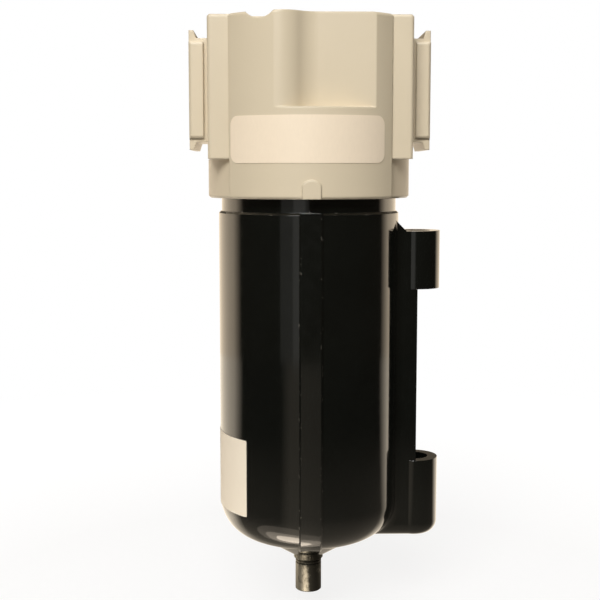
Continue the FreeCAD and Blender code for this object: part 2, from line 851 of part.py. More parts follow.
def make_piston_spring():
    body = new_body("piston_spring")
    bottom = chamber_floor + s.fit
    top = bottom + s.spring_wire * 2
    inner = s.spring_radius - s.spring_wire
    outer = s.spring_radius + s.spring_wire
    length = piston_bottom - top - s.fit
    sketch = new_sketch(body, "XZ")
    draw_box(sketch, inner, bottom, outer, top)
    doc.recompute()
    coil = body.newObject("PartDesign::AdditiveHelix", "piston_spring_coil")
    coil.Profile = sketch
    coil.ReferenceAxis = (sketch, ["V_Axis"])
    coil.Mode = 0
    coil.setExpression("Pitch", s.spring_pitch.text)
    coil.setExpression("Height", length.text)
    finish_feature(body, coil, True)


# Float guide, pilot nozzle, float and pilot pad
def make_float_guide():
    body = new_body("float_guide")
    spigot = s.guide_radius - s.fit
    collar_top = housing_top + s.flange_thickness
    turn(body, [
        (s.guide_bore, chamber_roof),
        (spigot, chamber_roof),
        (spigot, housing_top),
        (s.guide_collar, housing_top),
        (s.guide_collar, collar_top),
        (s.guide_radius, collar_top),
        (s.guide_radius, guide_top),
        (s.guide_bore, guide_top),
    ])


def make_pilot_nozzle():
    body = new_body("pilot_nozzle")
    spigot = s.guide_bore - s.fit
    flat = s.guide_radius - s.running_gap
    tip = s.nozzle_bore * 2
    shoulder = guide_top + s.nozzle_tip / 3
    turn(body, [
        (s.nozzle_bore, guide_top - s.nozzle_spigot),
        (spigot, guide_top - s.nozzle_spigot),
        (spigot, guide_top),
        (flat, guide_top),
        (flat, shoulder),
        (tip, nozzle_top),
        (s.nozzle_bore, nozzle_top),
    ])


def make_float():
    body = new_body("float")
    crest = s.float_radius - s.float_bevel
    turn(body, [
        (s.float_bore, float_bottom),
        (s.float_radius, float_bottom),
        (s.float_radius, float_top - s.float_bevel),
        (crest, float_top),
        (0, float_top),
        (0, float_ceiling),
        (s.float_bore, float_ceiling),
    ])


def make_pilot_pad():
    body = new_body("pilot_pad")
    rim = s.pad_radius
    turn(body, [(0, pad_bottom), (rim, pad_bottom), (rim, float_ceiling), (0, float_ceiling)])


for make in (make_head, make_head_label, make_deflector_stud, make_deflector, make_deflector_nut,
             make_bowl, make_bowl_label, make_bowl_seal, make_drain_stem, make_stem_gasket,
             make_drain_housing, make_drain_screen, make_drain_piston, make_valve_disc,
             make_piston_seal, make_piston_spring, make_float_guide, make_pilot_nozzle,
             make_float, make_pilot_pad):
    make()
doc.recompute()

for item in doc.Objects:
    if "Invalid" in item.State or "Error" in item.State:
        raise RuntimeError(f"{item.Name} is {item.State}")
for node in nodes:
    if node.Shape.isNull() or not node.Shape.isValid():
        raise RuntimeError(f"{node.Label} has no valid shape")

os.makedirs("parts", exist_ok=True)
for node in nodes:
    node.Shape.exportStep(f"parts/{node.Label}.step")
    box = node.Shape.BoundBox
    print(f"{node.Label}: {len(node.Shape.Solids)} solid, {node.Shape.Volume:.1f} mm3, "
          f"x {box.XMin:.2f} {box.XMax:.2f}, y {box.YMin:.2f} {box.YMax:.2f}, "
          f"z {box.ZMin:.2f} {box.ZMax:.2f}")
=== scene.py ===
import json
import math

import bpy
import numpy as np
from bpy.props import FloatProperty, FloatVectorProperty, PointerProperty
from mathutils import Euler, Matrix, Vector


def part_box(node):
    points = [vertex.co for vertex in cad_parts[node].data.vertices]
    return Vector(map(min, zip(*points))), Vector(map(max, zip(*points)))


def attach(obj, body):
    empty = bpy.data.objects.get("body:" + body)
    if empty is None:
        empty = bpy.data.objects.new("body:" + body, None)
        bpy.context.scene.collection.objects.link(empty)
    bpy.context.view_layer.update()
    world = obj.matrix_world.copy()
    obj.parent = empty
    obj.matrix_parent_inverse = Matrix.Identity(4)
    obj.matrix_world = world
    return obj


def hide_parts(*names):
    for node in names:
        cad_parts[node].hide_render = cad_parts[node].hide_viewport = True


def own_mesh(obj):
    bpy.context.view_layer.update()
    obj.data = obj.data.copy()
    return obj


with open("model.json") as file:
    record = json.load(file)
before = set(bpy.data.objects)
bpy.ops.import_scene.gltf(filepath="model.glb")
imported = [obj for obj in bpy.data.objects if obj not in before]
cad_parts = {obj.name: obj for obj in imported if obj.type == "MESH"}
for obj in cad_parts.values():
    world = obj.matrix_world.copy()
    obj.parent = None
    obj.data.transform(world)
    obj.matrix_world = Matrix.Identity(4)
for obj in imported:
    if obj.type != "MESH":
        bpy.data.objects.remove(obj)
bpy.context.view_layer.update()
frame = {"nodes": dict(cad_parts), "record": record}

bl_info = {
    "name": "Condensate Drain Looks",
    "version": (1, 0, 0),
    "blender": (4, 5, 0),
    "location": "3D View > Sidebar > Drain",
    "description": "Paint, film, metal, threads and a small studio for a float drain",
    "category": "Object",
}

NODES = frame["nodes"]
MM = 0.001

# Edges of a new piece that turn more than this stay sharp
SHARP_ANGLE = math.radians(40.0)

# Where a Mix node has its two numbers, its two colours and what it gives for each
MIX_NUMBERS, MIXED_NUMBER = (2, 3), 0
MIX_COLOURS, MIXED_COLOUR = (6, 7), 2

# Ranges of a noise: nearly all of it, and the middle of it, which makes soft edged clouds
WHOLE_NOISE = (0.3, 0.7)
CLOUDS = (0.35, 0.65)

# Level directions, a little to the left and to the right of straight back
BACK_LINES = ((-0.25, 0.968, 0.0), (0.14, 0.990, 0.0))

# Colours of the light
WHITE = (1.0, 1.0, 1.0)
KEY_COLOUR = (1.0, 0.985, 0.96)
BOX_COLOUR = (1.0, 0.99, 0.93)
FOOT_COLOUR = (1.0, 0.86, 0.70)
FLOOR_COLOUR = (1.0, 0.87, 0.69)
ROOM_COLOUR = (1.0, 0.83, 0.62)


def node_box(name):
    """Lowest and highest corner of a CAD node, as two arrays."""
    low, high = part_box(name)
    return np.array(low), np.array(high)


def node_points(name):
    """The vertices of a CAD node, as rows of x, y and z."""
    points = np.zeros(len(NODES[name].data.vertices) * 3)
    NODES[name].data.vertices.foreach_get("co", points)
    return points.reshape(-1, 3)


# Sizes and colours that a user would change
class DrainColours(bpy.types.PropertyGroup):
    head_paint: FloatVectorProperty(
        name="Head paint", description="Gloss paint on the head casting",
        subtype="COLOR", size=3, min=0.0, max=1.0, default=(0.715, 0.618, 0.456))
    bowl_paint: FloatVectorProperty(
        name="Bowl paint", description="Gloss paint on the bowl casting",
        subtype="COLOR", size=3, min=0.0, max=1.0, default=(0.0036, 0.0042, 0.0034))
    bare_metal: FloatVectorProperty(
        name="Bare casting", description="Casting metal where the bowl's paint is chipped",
        subtype="COLOR", size=3, min=0.0, max=1.0, default=(0.46, 0.42, 0.36))
    head_film: FloatVectorProperty(
        name="Head label", description="Satin film of the label on the head",
        subtype="COLOR", size=3, min=0.0, max=1.0, default=(0.95, 0.81, 0.63))
    bowl_film: FloatVectorProperty(
        name="Bowl sticker", description="Satin film of the sticker on the bowl",
        subtype="COLOR", size=3, min=0.0, max=1.0, default=(1.0, 0.89, 0.73))
    stem_metal: FloatVectorProperty(
        name="Stem metal", description="Turned metal of the drain stem",
        subtype="COLOR", size=3, min=0.0, max=1.0, default=(0.38, 0.36, 0.30))
    # The stem's dark colour marks real tarnish and is also painted shade on the stem's right side
    stem_tarnish_and_shade: FloatVectorProperty(
        name="Stem tarnish", description="Dark patches on the drain stem",
        subtype="COLOR", size=3, min=0.0, max=1.0, default=(0.050, 0.047, 0.038))


class DrainSizes(bpy.types.PropertyGroup):
    head_corner: FloatProperty(
        name="Head label corner", description="Corner radius of the head's label",
        unit="LENGTH", min=0.0, default=2.7 * MM)
    bowl_corner: FloatProperty(
        name="Sticker corner", description="Corner radius of the bowl's sticker",
        unit="LENGTH", min=0.0, default=0.5 * MM)
    film_thickness: FloatProperty(
        name="Film thickness", description="Thickness of the label and the sticker",
        unit="LENGTH", min=0.0, default=0.1 * MM)
    port_pitch: FloatProperty(
        name="Port thread pitch", description="Pitch of the threads in the two ports",
        unit="LENGTH", min=0.0001, default=1.41 * MM)
    port_depth: FloatProperty(
        name="Port thread depth", description="Depth of the threads in the two ports",
        unit="LENGTH", min=0.0, default=0.75 * MM)
    bowl_pitch: FloatProperty(
        name="Bowl thread pitch", description="Pitch of the thread on the bowl's neck",
        unit="LENGTH", min=0.0001, default=2.0 * MM)
    bowl_depth: FloatProperty(
        name="Bowl thread depth", description="How far the thread stands out of the neck",
        unit="LENGTH", min=0.0, default=0.22 * MM)
    spring_turns: FloatProperty(
        name="Spring turns", description="Number of turns in the drain piston's spring",
        min=1.0, default=2.6)
    seal_bead: FloatProperty(
        name="Seal section", description="Radius of the bowl seal's round section",
        unit="LENGTH", min=0.0001, default=1.05 * MM)


class DrainStudio(bpy.types.PropertyGroup):
    lens: FloatProperty(
        name="Lens", description="Focal length of the camera in millimetres",
        unit="CAMERA", min=10.0, default=69.0)
    azimuth: FloatProperty(
        name="Azimuth", description="How far the camera stands round from the front",
        subtype="ANGLE", default=math.radians(-1.1))
    pitch: FloatProperty(
        name="Pitch", description="How far the camera looks down",
        subtype="ANGLE", default=math.radians(6.35))
    distance: FloatProperty(
        name="Distance", description="Level distance from the bowl's axis to the camera",
        unit="LENGTH", min=0.05, default=361.0 * MM)
    height: FloatProperty(
        name="Height", description="Camera height above the stem's lower end",
        unit="LENGTH", default=134.2 * MM)
    sideways: FloatProperty(
        name="Sideways", description="Camera offset to the right of the axis",
        unit="LENGTH", default=-2.7 * MM)
    floor_drop: FloatProperty(
        name="Floor drop", description="How far the floor lies below the stem's lower end",
        unit="LENGTH", min=0.0, default=9.0 * MM)
    floor_radius: FloatProperty(
        name="Floor radius", description="Radius of the round floor",
        unit="LENGTH", min=0.1, default=0.55)
    key_level: FloatProperty(
        name="Key level", description="Share of plain light that the upper front lamp gives",
        min=0.0, default=0.91)
    top_level: FloatProperty(
        name="Top level", description="Share of plain light that the lamp above gives",
        min=0.0, default=0.28)
    box_level: FloatProperty(
        name="Box level",
        description="Share of plain light that the wider of the two tall boxes in front gives",
        min=0.0, default=0.024)
    foot_level: FloatProperty(
        name="Foot lamps",
        description="Brightness of the brightest lamp below the bowl, where white is 1",
        min=0.0, default=3.2)
    dim_room: FloatProperty(
        name="Dark room", description="Brightness that gloss mirrors from the room in front",
        min=0.0, default=0.025)
    back_room: FloatProperty(
        name="Back light", description="Light that the room behind the object throws on it",
        min=0.0, default=0.55)
    front_room: FloatProperty(
        name="Front light", description="Light that the room in front of the object throws on it",
        min=0.0, default=0.06)


# Meshes from surfaces
def grid_mesh(name, points, wrap_u=False, wrap_v=False, uv=None):
    """A mesh from a grid of points with shape (rows, columns, 3).

    Each cell of the grid is one quad. wrap_u closes the columns and wrap_v closes the rows.
    """
    rows, columns = points.shape[:2]
    row = np.arange(rows if wrap_v else rows - 1)
    column = np.arange(columns if wrap_u else columns - 1)
    j, i = np.meshgrid(row, column, indexing="ij")
    next_j, next_i = (j + 1) % rows, (i + 1) % columns
    faces = np.stack([j * columns + i, j * columns + next_i,
                      next_j * columns + next_i, next_j * columns + i], axis=-1).reshape(-1, 4)
    corners = faces.reshape(-1)
    mesh = bpy.data.meshes.new(name)
    mesh.vertices.add(rows * columns)
    mesh.vertices.foreach_set("co", points.reshape(-1).astype(np.float32))
    mesh.loops.add(len(corners))
    mesh.loops.foreach_set("vertex_index", corners.astype(np.int32))
    mesh.polygons.add(len(faces))
    mesh.polygons.foreach_set("loop_start", np.arange(0, len(corners), 4, dtype=np.int32))
    mesh.polygons.foreach_set("use_smooth", np.ones(len(faces), dtype=bool))
    if uv is not None:
        layer = mesh.uv_layers.new(name="surface")
        layer.data.foreach_set("uv", uv.reshape(-1, 2)[corners].reshape(-1).astype(np.float32))
    mesh.update(calc_edges=True)
    mesh.validate()
    mesh.set_sharp_from_angle(angle=SHARP_ANGLE)
    return mesh


def placed(name, data, location=(0.0, 0.0, 0.0), rotation=(0.0, 0.0, 0.0)):
    """An object of the scene that holds a mesh, a lamp or a camera."""
    item = bpy.data.objects.new(name, data)
    item.location = location
    item.rotation_euler = rotation
    bpy.context.scene.collection.objects.link(item)
    return item


def grid_piece(name, body, points, material, wrap_u=False, wrap_v=False, uv=None):
    """A piece of the object from a grid of points, riding on a CAD body."""
    mesh = grid_mesh(name, points, wrap_u, wrap_v, uv)
    mesh.materials.append(material)
    piece = placed(name, mesh)
    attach(piece, body)
    return piece


def round_angles(count):
    """Angles spaced evenly round a circle."""
    return np.linspace(0.0, 2.0 * math.pi, count, endpoint=False)


def turned_points(profile, columns):
    """A surface of revolution about Z.

    Row j is the profile's point (r, z), and column i is the angle a = 2 pi i / columns, so the
    point is (r cos a, r sin a, z).
    """
    angle = round_angles(columns)
    radius, height = profile[:, 0][:, None], profile[:, 1][:, None]
    return np.stack([radius * np.cos(angle), radius * np.sin(angle),
                     height + 0.0 * angle], axis=-1)


def film_points(radius, thickness, start, end, low, high, corner, wide=97, tall=25):
    """A thin film bent round the Z axis, with rounded corners.

    u runs along the arc and v up the film. The arc is radius times the angle. Near an end, the
    half height shrinks by corner minus the square root of corner squared less the square of how
    far u lies past the start of the corner. The last rows and columns fold back to the inner
    radius, so the film has an edge.
    """
    arc = radius * (end - start)
    # close spacing at both ends, so the corner arcs are round
    share = 0.5 - 0.5 * np.cos(np.linspace(0.0, math.pi, wide))
    along = share * arc
    past = np.clip(corner - np.minimum(along, arc - along), 0.0, corner)
    shrink = corner - np.sqrt(np.maximum(corner ** 2 - past ** 2, 0.0))
    half = (high - low) / 2.0 - shrink
    lift = np.concatenate([[-1.0], np.linspace(-1.0, 1.0, tall), [1.0]])
    depth = np.concatenate([[0.0], np.full(tall, thickness), [0.0]])
    angle = start + along / radius
    fold = np.concatenate([[0.0], np.ones(wide), [0.0]])
    angle = np.concatenate([angle[:1], angle, angle[-1:]])
    half = np.concatenate([half[:1], half, half[-1:]])
    out = radius + np.minimum(depth[:, None], thickness * fold[None, :])
    height = (low + high) / 2.0 + lift[:, None] * half[None, :]
    return np.stack([out * np.sin(angle)[None, :], -out * np.cos(angle)[None, :], height], axis=-1)


def thread_points(radius, depth, pitch, low, high, columns, per_pitch=10):
    """A threaded tube about Z.

    The angle a runs round and the height z runs up. The radius is the root plus the depth times
    a triangle wave of z / pitch - a / 2 pi with flats at its root and its crest, and it fades
    out at both ends.
    """
    steepness, root_flat, fade_pitches = 1.35, 0.17, 0.8
    rows = int((high - low) / pitch * per_pitch) + 1
    height = np.linspace(low, high, rows)[:, None]
    angle = round_angles(columns)[None, :]
    wave = np.abs(((height / pitch - angle / (2.0 * math.pi)) % 1.0) * 2.0 - 1.0)
    crest = np.clip(wave * steepness - root_flat, 0.0, 1.0)
    fade = np.clip(np.minimum(height - low, high - height) / (fade_pitches * pitch), 0.0, 1.0)
    out = radius + depth * crest * fade
    return np.stack([out * np.cos(angle), out * np.sin(angle), height + 0.0 * angle], axis=-1)


def coil_points(radius, wire, low, high, turns, around=12, per_turn=48):
    """A coil spring about Z: a circle of the wire's radius carried along a helix.

    The angle a runs along the helix, whose height climbs evenly from low to high, and b runs
    round the wire: r = radius + wire cos b, z = climb + wire sin b. Both ends close to a point.
    """
    steps = int(turns * per_turn) + 1
    share = np.linspace(0.0, 1.0, steps)
    share = np.concatenate([share[:1], share, share[-1:]])
    size = np.concatenate([[0.0], np.full(steps, wire), [0.0]])[:, None]
    angle = (share * turns * 2.0 * math.pi)[:, None]
    round_wire = round_angles(around)[None, :]
    out = radius + size * np.cos(round_wire)
    height = low + wire + share[:, None] * (high - low - 2.0 * wire) + size * np.sin(round_wire)
    return np.stack([out * np.cos(angle), out * np.sin(angle), height], axis=-1)


def rotated(points, matrix, shift):
    """Every point turned by a 3 by 3 matrix and then moved."""
    return points @ np.array(matrix).T + np.array(shift)


# Node helpers
def fill(tree, item, inputs):
    """Gives a node's inputs a socket or a plain value each."""
    for key, value in inputs.items():
        if isinstance(value, bpy.types.NodeSocket):
            tree.links.new(value, item.inputs[key])
        else:
            item.inputs[key].default_value = value


def add_node(tree, kind, inputs=None, **settings):
    """A node with its settings, whose inputs take a socket or a plain value."""
    item = tree.nodes.new(kind)
    for key, value in settings.items():
        setattr(item, key, value)
    fill(tree, item, inputs or {})
    return item


def bare_tree(owner):
    """The emptied node tree of a material or a world."""
    owner.use_nodes = True
    owner.node_tree.nodes.clear()
    return owner.node_tree


def new_finish(name, metallic=0.0, roughness=0.5, ior=1.5):
    """A material with a bare shader. Returns the material, its tree and the shader."""
    material = bpy.data.materials.new(name)
    tree = bare_tree(material)
    shader = add_node(tree, "ShaderNodeBsdfPrincipled",
                      {"Metallic": metallic, "Roughness": roughness, "IOR": ior})
    add_node(tree, "ShaderNodeOutputMaterial", {"Surface": shader.outputs["BSDF"]})
    return material, tree, shader


def maths(tree, operation, first, second):
    """Two numbers added, multiplied or compared."""
    return add_node(tree, "ShaderNodeMath", {0: first, 1: second},
                    operation=operation).outputs["Value"]


def lean(tree, first, second):
    """How far one direction leans along another: 1 where they are the same."""
    return add_node(tree, "ShaderNodeVectorMath", {0: first, 1: second},
                    operation="DOT_PRODUCT").outputs["Value"]


def part_of(tree, vector, axis):
    """The X, Y or Z of a vector."""
    return add_node(tree, "ShaderNodeSeparateXYZ", {"Vector": vector}).outputs[axis]


def object_place(tree):
    """The place of a point in the object's own frame."""
    return add_node(tree, "ShaderNodeTexCoord").outputs["Object"]


def object_noise(tree, scale, detail=2.0, roughness=0.5, stretch=(1.0, 1.0, 1.0)):
    """Noise on Object coordinates, with its own stretch along each axis."""
    mapped = add_node(tree, "ShaderNodeMapping", {"Vector": object_place(tree), "Scale": stretch})
    return add_node(tree, "ShaderNodeTexNoise",
                    {"Vector": mapped.outputs["Vector"], "Scale": scale, "Detail": detail,
                     "Roughness": roughness}).outputs["Fac"]


def spread(tree, value, across, result):
    """A value carried from the range across to the range result, and held inside it."""
    return add_node(tree, "ShaderNodeMapRange",
                    {"Value": value, "From Min": across[0], "From Max": across[1],
                     "To Min": result[0], "To Max": result[1]}).outputs["Result"]


def mask(tree, value, across):
    """0 where a value is at the first end of a range, and 1 where it is at the other."""
    return spread(tree, value, across, (0.0, 1.0))


def uneven(tree, scale, result):
    """A number that wanders through a range from place to place."""
    return spread(tree, object_noise(tree, scale), WHOLE_NOISE, result)


def mixed(tree, factor, first, second):
    """Two colours mixed by a factor."""
    inputs = {"Factor": factor}
    for socket, colour in zip(MIX_COLOURS, (first, second)):
        inputs[socket] = colour if isinstance(colour, bpy.types.NodeSocket) else (*colour, 1.0)
    return add_node(tree, "ShaderNodeMix", inputs, data_type="RGBA").outputs[MIXED_COLOUR]


def shade(colour, factor):
    """A colour made lighter or darker."""
    return tuple(min(1.0, channel * factor) for channel in colour)


def bumped(tree, height, strength, distance, normal=None):
    """A bump on top of another normal."""
    inputs = {"Height": height, "Strength": strength, "Distance": distance}
    if normal is not None:
        inputs["Normal"] = normal
    return add_node(tree, "ShaderNodeBump", inputs).outputs["Normal"]


def soft_edges(tree, radius):
    """The normal of the surface with its sharp edges rounded off."""
    return add_node(tree, "ShaderNodeBevel", {"Radius": radius}, samples=6).outputs["Normal"]


def sand_lumps(tree, scale, size, left_out):
    """Sparse small lumps, as sand grains leave on a casting: 1 in a lump and 0 elsewhere."""
    flat_top = 0.35
    cells = add_node(tree, "ShaderNodeTexVoronoi", {"Vector": object_place(tree), "Scale": scale})
    lump = mask(tree, cells.outputs["Distance"], (size, size * flat_top))
    pick = add_node(tree, "ShaderNodeSeparateColor", {"Color": cells.outputs["Color"]}).outputs["Red"]
    return maths(tree, "MULTIPLY", lump, maths(tree, "GREATER_THAN", pick, left_out))


def toward_back(tree, vector):
    """How far a direction leans to the back: the larger lean along two level lines."""
    left, right = [lean(tree, vector, line) for line in BACK_LINES]
    return maths(tree, "MAXIMUM", left, right)


def emitted(tree, colour, strength):
    """A plain light of one colour."""
    return add_node(tree, "ShaderNodeEmission",
                    {"Color": (*colour, 1.0), "Strength": strength}).outputs["Emission"]


def scattered(tree, value):
    """A matt grey that is as light as the value says."""
    grey = add_node(tree, "ShaderNodeCombineColor", {"Red": value, "Green": value, "Blue": value})
    return add_node(tree, "ShaderNodeBsdfDiffuse", {"Color": grey.outputs["Color"]}).outputs["BSDF"]


def either(tree, factor, first, second):
    """The first shader at a factor of 0 and the second at 1."""
    return add_node(tree, "ShaderNodeMixShader",
                    {0: factor, 1: first, 2: second}).outputs["Shader"]


# Materials of the object
def head_paint_finish(colours):
    """Beige gloss paint over a die casting: faint clouds, slow waves, orange peel, soft edges."""
    material, tree, shader = new_finish("head_gloss_paint", roughness=0.3)
    colour = tuple(colours.head_paint)
    clouds = mask(tree, object_noise(tree, scale=45.0, detail=1.0), (0.2, 0.8))
    waves = bumped(tree, object_noise(tree, scale=160.0, detail=1.0), strength=0.2,
                   distance=0.2 * MM, normal=soft_edges(tree, 0.7 * MM))
    peel = bumped(tree, object_noise(tree, scale=900.0, detail=3.0), strength=0.22,
                  distance=0.08 * MM, normal=waves)
    fill(tree, shader, {
        "Base Color": mixed(tree, clouds, shade(colour, 0.97), shade(colour, 1.03)),
        "Roughness": uneven(tree, scale=260.0, result=(0.30, 0.33)),
        "Coat Weight": 0.35,
        "Coat Roughness": 0.1,
        "Normal": peel,
    })
    return material


def bowl_paint_finish(colours):
    """Black gloss paint over a casting, chipped to bare metal in places along sharp edges."""
    material, tree, shader = new_finish("bowl_gloss_paint", roughness=0.12, ior=1.6)
    colour = tuple(colours.bowl_paint)
    clouds = mask(tree, object_noise(tree, scale=60.0, detail=3.0), CLOUDS)
    paint = mixed(tree, clouds, colour, shade(colour, 1.35))
    edges = soft_edges(tree, 0.2 * MM)
    # the softened normal leans away from the surface's own one near an edge
    own = add_node(tree, "ShaderNodeNewGeometry").outputs["Normal"]
    edge = mask(tree, lean(tree, edges, own), (0.997, 0.97))
    specks = mask(tree, object_noise(tree, scale=700.0, detail=3.0, roughness=0.7), (0.60, 0.65))
    chips = maths(tree, "MULTIPLY", edge, specks)
    waves = bumped(tree, object_noise(tree, scale=90.0, detail=1.0), strength=0.12,
                   distance=0.2 * MM, normal=edges)
    peel = bumped(tree, object_noise(tree, scale=800.0), strength=0.05,
                  distance=0.06 * MM, normal=waves)
    lumps = sand_lumps(tree, scale=160.0, size=0.07, left_out=0.9)
    fill(tree, shader, {
        "Base Color": mixed(tree, chips, paint, tuple(colours.bare_metal)),
        "Roughness": uneven(tree, scale=320.0, result=(0.09, 0.17)),
        "Coat Weight": 1.0,
        "Coat Roughness": 0.06,
        "Coat IOR": 1.5,
        "Normal": bumped(tree, lumps, strength=0.5, distance=0.15 * MM, normal=peel),
    })
    return material


def film_finish(name, colour, roughness):
    """Cream satin film with a faint fibre and slow ripples."""
    material, tree, shader = new_finish(name, roughness=roughness)
    strands = object_noise(tree, scale=1400.0, detail=4.0, roughness=0.6, stretch=(1.0, 1.0, 0.35))
    fibre = mask(tree, strands, WHOLE_NOISE)
    ripples = bumped(tree, object_noise(tree, scale=70.0, detail=1.0), strength=0.12,
                     distance=0.2 * MM)
    fill(tree, shader, {
        "Base Color": mixed(tree, fibre, shade(colour, 0.985), shade(colour, 1.01)),
        "Roughness": uneven(tree, scale=300.0, result=(roughness - 0.04, roughness + 0.05)),
        "Normal": bumped(tree, fibre, strength=0.04, distance=0.03 * MM, normal=ripples),
    })
    return material


def stem_finish(colours):
    """Turned metal with fine lathe lines, tarnished in patches, with painted shade that darkens its
    right side.
    """
    material, tree, shader = new_finish("stem_metal_tarnish_and_painted_shade", metallic=0.85, roughness=0.4)
    across_stem = (-2.0 * MM, 2.0 * MM)
    # painted shade: tarnish is pushed up towards the right side, so that side reads darker as if in
    # shade
    painted_shade_on_right = spread(tree, part_of(tree, object_place(tree), "X"), across_stem, (-0.10, 0.16))
    blotches = object_noise(tree, scale=330.0, detail=6.0, roughness=0.7, stretch=(1.0, 1.0, 0.6))
    tarnish_and_right_shade = maths(tree, "ADD", blotches, painted_shade_on_right)
    # the dark colour goes on the tarnish and on the right side, which is painted as shaded
    tarnish_and_shade_mask = mask(tree, tarnish_and_right_shade, (0.40, 0.58))
    lathe_lines = object_noise(tree, scale=90.0, stretch=(0.5, 0.5, 45.0))
    turned = bumped(tree, lathe_lines, strength=0.25, distance=0.03 * MM,
                    normal=soft_edges(tree, 0.15 * MM))
    fill(tree, shader, {
        "Base Color": mixed(tree, tarnish_and_shade_mask, tuple(colours.stem_metal), tuple(colours.stem_tarnish_and_shade)),
        "Roughness": spread(tree, tarnish_and_right_shade, CLOUDS, (0.28, 0.55)),
        "Normal": bumped(tree, tarnish_and_right_shade, strength=0.3, distance=0.08 * MM, normal=turned),
    })
    return material


def rubber_finish():
    """Matt black rubber with fine grain and a little bloom."""
    material, tree, shader = new_finish("seal_nitrile_rubber", roughness=0.6)
    clean, bloomed = (0.016, 0.016, 0.016), (0.035, 0.034, 0.032)
    bloom = mask(tree, object_noise(tree, scale=180.0, detail=3.0), (0.4, 0.7))
    grain = object_noise(tree, scale=2200.0)
    fill(tree, shader, {
        "Base Color": mixed(tree, bloom, clean, bloomed),
        "Roughness": uneven(tree, scale=500.0, result=(0.52, 0.7)),
        "Normal": bumped(tree, grain, strength=0.15, distance=0.03 * MM),
    })
    return material


def moulded_finish(name, colour, roughness):
    """Moulded plastic with a slight skin texture and cloudiness."""
    material, tree, shader = new_finish(name, roughness=roughness)
    clouds = mask(tree, object_noise(tree, scale=80.0, detail=3.0), CLOUDS)
    skin = object_noise(tree, scale=1300.0)
    fill(tree, shader, {
        "Base Color": mixed(tree, clouds, shade(colour, 0.96), shade(colour, 1.03)),
        "Subsurface Weight": 0.08,
        "Subsurface Scale": 1.5 * MM,
        "Roughness": uneven(tree, scale=600.0, result=(roughness - 0.05, roughness + 0.08)),
        "Normal": bumped(tree, skin, strength=0.08, distance=0.03 * MM,
                         normal=soft_edges(tree, 0.3 * MM)),
    })
    return material


def metal_finish(name, bright, dull, roughness, stretch=(1.0, 1.0, 1.0)):
    """Bare or plated metal, clouded between two tones, with drawn or cut lines."""
    material, tree, shader = new_finish(name, metallic=1.0, roughness=roughness)
    clouds = mask(tree, object_noise(tree, scale=220.0, detail=4.0, roughness=0.6), CLOUDS)
    lines = object_noise(tree, scale=120.0, stretch=stretch)
    fill(tree, shader, {
        "Base Color": mixed(tree, clouds, bright, dull),
        "Roughness": uneven(tree, scale=500.0, result=(roughness - 0.06, roughness + 0.1)),
        "Normal": bumped(tree, lines, strength=0.2, distance=0.03 * MM,
                         normal=soft_edges(tree, 0.15 * MM)),
    })
    return material


def woven_finish():
    """Woven wire cloth: two crossed waves on the surface's own map, with painted shade, near black,
    between the wires where the openings are.
    """
    material, tree, shader = new_finish("screen_woven_steel", metallic=1.0, roughness=0.35)
    # painted shade: the openings between the wires get a near black colour in place of real holes
    painted_gap_shade, wire = (0.03, 0.03, 0.03), (0.58, 0.57, 0.54)
    own_map = add_node(tree, "ShaderNodeTexCoord").outputs["UV"]
    warp, weft = [add_node(tree, "ShaderNodeTexWave",
                           {"Vector": own_map, "Scale": 90.0, "Distortion": 0.0},
                           wave_type="BANDS", bands_direction=direction).outputs["Fac"]
                  for direction in ("X", "Y")]
    cloth = maths(tree, "MAXIMUM", warp, weft)
    fill(tree, shader, {
        "Base Color": mixed(tree, mask(tree, cloth, (0.45, 0.75)), painted_gap_shade, wire),
        "Normal": bumped(tree, cloth, strength=0.8, distance=0.1 * MM),
    })
    return material


def give(name, material):
    """Puts a material in the slots of a CAD node."""
    for entry in NODES[name].material_slots:
        entry.link = "OBJECT"
        entry.material = material


# Operators, one for each group of pieces
class DRAIN_OT_castings(bpy.types.Operator):
    """Paint the head and the bowl"""

    bl_idname = "drain.castings"
    bl_label = "Castings"

    def execute(self, context):
        colours = context.scene.drain_colours
        give("head", head_paint_finish(colours))
        give("bowl", bowl_paint_finish(colours))
        return {"FINISHED"}


class DRAIN_OT_films(bpy.types.Operator):
    """Make the bare label on the head and the bare sticker on the bowl"""

    bl_idname = "drain.films"
    bl_label = "Label and sticker"

    def execute(self, context):
        colours = context.scene.drain_colours
        sizes = context.scene.drain_sizes
        films = (
            ("head_label", "head", "label_on_head", colours.head_film, sizes.head_corner, 0.34),
            ("bowl_label", "bowl", "sticker_on_bowl", colours.bowl_film, sizes.bowl_corner, 0.42),
        )
        for node, body, name, colour, corner, roughness in films:
            low, high = node_box(node)
            points = node_points(node)
            angle = np.arctan2(points[:, 0], -points[:, 1])
            inner = np.hypot(points[:, 0], points[:, 1]).min()
            surface = film_points(inner, sizes.film_thickness, angle.min(), angle.max(),
                                  low[2], high[2], corner)
            film = film_finish(name + "_film", tuple(colour), roughness)
            piece = grid_piece(name, body, surface, film)
            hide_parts(node)
        return {"FINISHED"}


class DRAIN_OT_stem(bpy.types.Operator):
    """Finish the drain stem and its gasket"""

    bl_idname = "drain.stem"
    bl_label = "Drain stem"

    def execute(self, context):
        give("drain_stem", stem_finish(context.scene.drain_colours))
        give("stem_gasket", rubber_finish())
        return {"FINISHED"}


